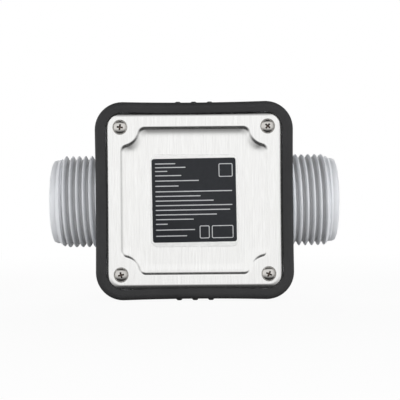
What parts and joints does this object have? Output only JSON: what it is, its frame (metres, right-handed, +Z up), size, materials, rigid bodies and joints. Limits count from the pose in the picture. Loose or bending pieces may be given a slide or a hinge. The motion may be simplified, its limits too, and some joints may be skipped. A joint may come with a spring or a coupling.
{
  "type": "turbine flow meter",
  "caption": "Digital in-line turbine flow meter: square rubber-booted body, threaded port at each end, brushed steel back plate, display and buttons on the hidden side.",
  "frame": {"origin": "centre of the outer box in plan, on the surface that the boot's bottom ribs stand on", "axes": "+X along the flow from inlet port to outlet port, +Y from the steel back plate to the display, +Z up"},
  "size_m": [0.102, 0.0598, 0.0688],
  "materials": {
    "housing_polyamide": "light grey moulded polyamide, satin",
    "boot_rubber": "soft black moulded rubber, satin",
    "brushed_plate": "bright stainless steel, brushed up and down",
    "gasket_rubber": "black seal rubber",
    "label_film": "dark printed film with a pale margin",
    "cover_plastic": "dark grey textured plastic",
    "window_pane": "clear window",
    "frame_plastic": "black plastic",
    "display_glass": "grey-green reflective display",
    "strip_rubber": "conductive layered rubber",
    "board_laminate": "green solder mask",
    "switch_plastic": "black plastic",
    "button_plastic": "mid grey plastic",
    "cell_can": "wrapped cell",
    "spring_steel": "plated spring steel",
    "screw_steel": "bright stainless steel",
    "insert_brass": "turned brass",
    "rotor_plastic": "off-white acetal",
    "shaft_steel": "ground steel",
    "magnet_ferrite": "dark ferrite",
    "straightener_plastic": "dark moulded polyamide",
    "bearing_plastic": "brown bearing plastic",
    "sensor_glass": "green-tinted glass capsule"
  },
  "bodies": {
    "meter_body": {"housing": "housing_polyamide", "protective_boot": "boot_rubber", "rear_plate": "brushed_plate", "rear_gasket": "gasket_rubber", "rating_label": "label_film", "front_gasket": "gasket_rubber", "front_cover": "cover_plastic", "display_window": "window_pane", "lcd_frame": "frame_plastic", "lcd_glass": "display_glass", "lcd_upper_contact_strip": "strip_rubber", "lcd_lower_contact_strip": "strip_rubber", "circuit_board": "board_laminate", "reset_switch": "switch_plastic", "calibration_switch": "switch_plastic", "upper_battery": "cell_can", "lower_battery": "cell_can", "upper_battery_contact": "spring_steel", "lower_battery_contact": "spring_steel", "upper_battery_spring": "spring_steel", "lower_battery_spring": "spring_steel", "inlet_straightener": "straightener_plastic", "outlet_straightener": "straightener_plastic", "inlet_bearing": "bearing_plastic", "outlet_bearing": "bearing_plastic", "inlet_retaining_ring": "spring_steel", "outlet_retaining_ring": "spring_steel", "first_pulse_sensor": "sensor_glass", "second_pulse_sensor": "sensor_glass", "upper_left_screw": "screw_steel", "upper_left_insert": "insert_brass", "upper_right_screw": "screw_steel", "upper_right_insert": "insert_brass", "lower_left_screw": "screw_steel", "lower_left_insert": "insert_brass", "lower_right_screw": "screw_steel", "lower_right_insert": "insert_brass"},
    "rotor": {"turbine_rotor": "rotor_plastic", "rotor_shaft": "shaft_steel", "upper_rotor_magnet": "magnet_ferrite", "lower_rotor_magnet": "magnet_ferrite"},
    "reset_key": {"reset_button": "button_plastic", "reset_button_ring": "gasket_rubber"},
    "calibration_key": {"calibration_button": "button_plastic", "calibration_button_ring": "gasket_rubber"}
  },
  "joints": [
    {"name": "rotor_spin", "type": "hinge", "parent": "meter_body", "child": "rotor", "pos_m": [0, -0.0075, 0.0345], "axis": [1, 0, 0], "continuous": true},
    {"name": "reset_button_press", "type": "slide", "parent": "meter_body", "child": "reset_key", "axis": [0, -1, 0], "range_m": [0, 0.0008], "stiffness_N_per_m": 800, "springref_m": -0.0003},
    {"name": "calibration_button_press", "type": "slide", "parent": "meter_body", "child": "calibration_key", "axis": [0, -1, 0], "range_m": [0, 0.0008], "stiffness_N_per_m": 800, "springref_m": -0.0003}
  ]
}
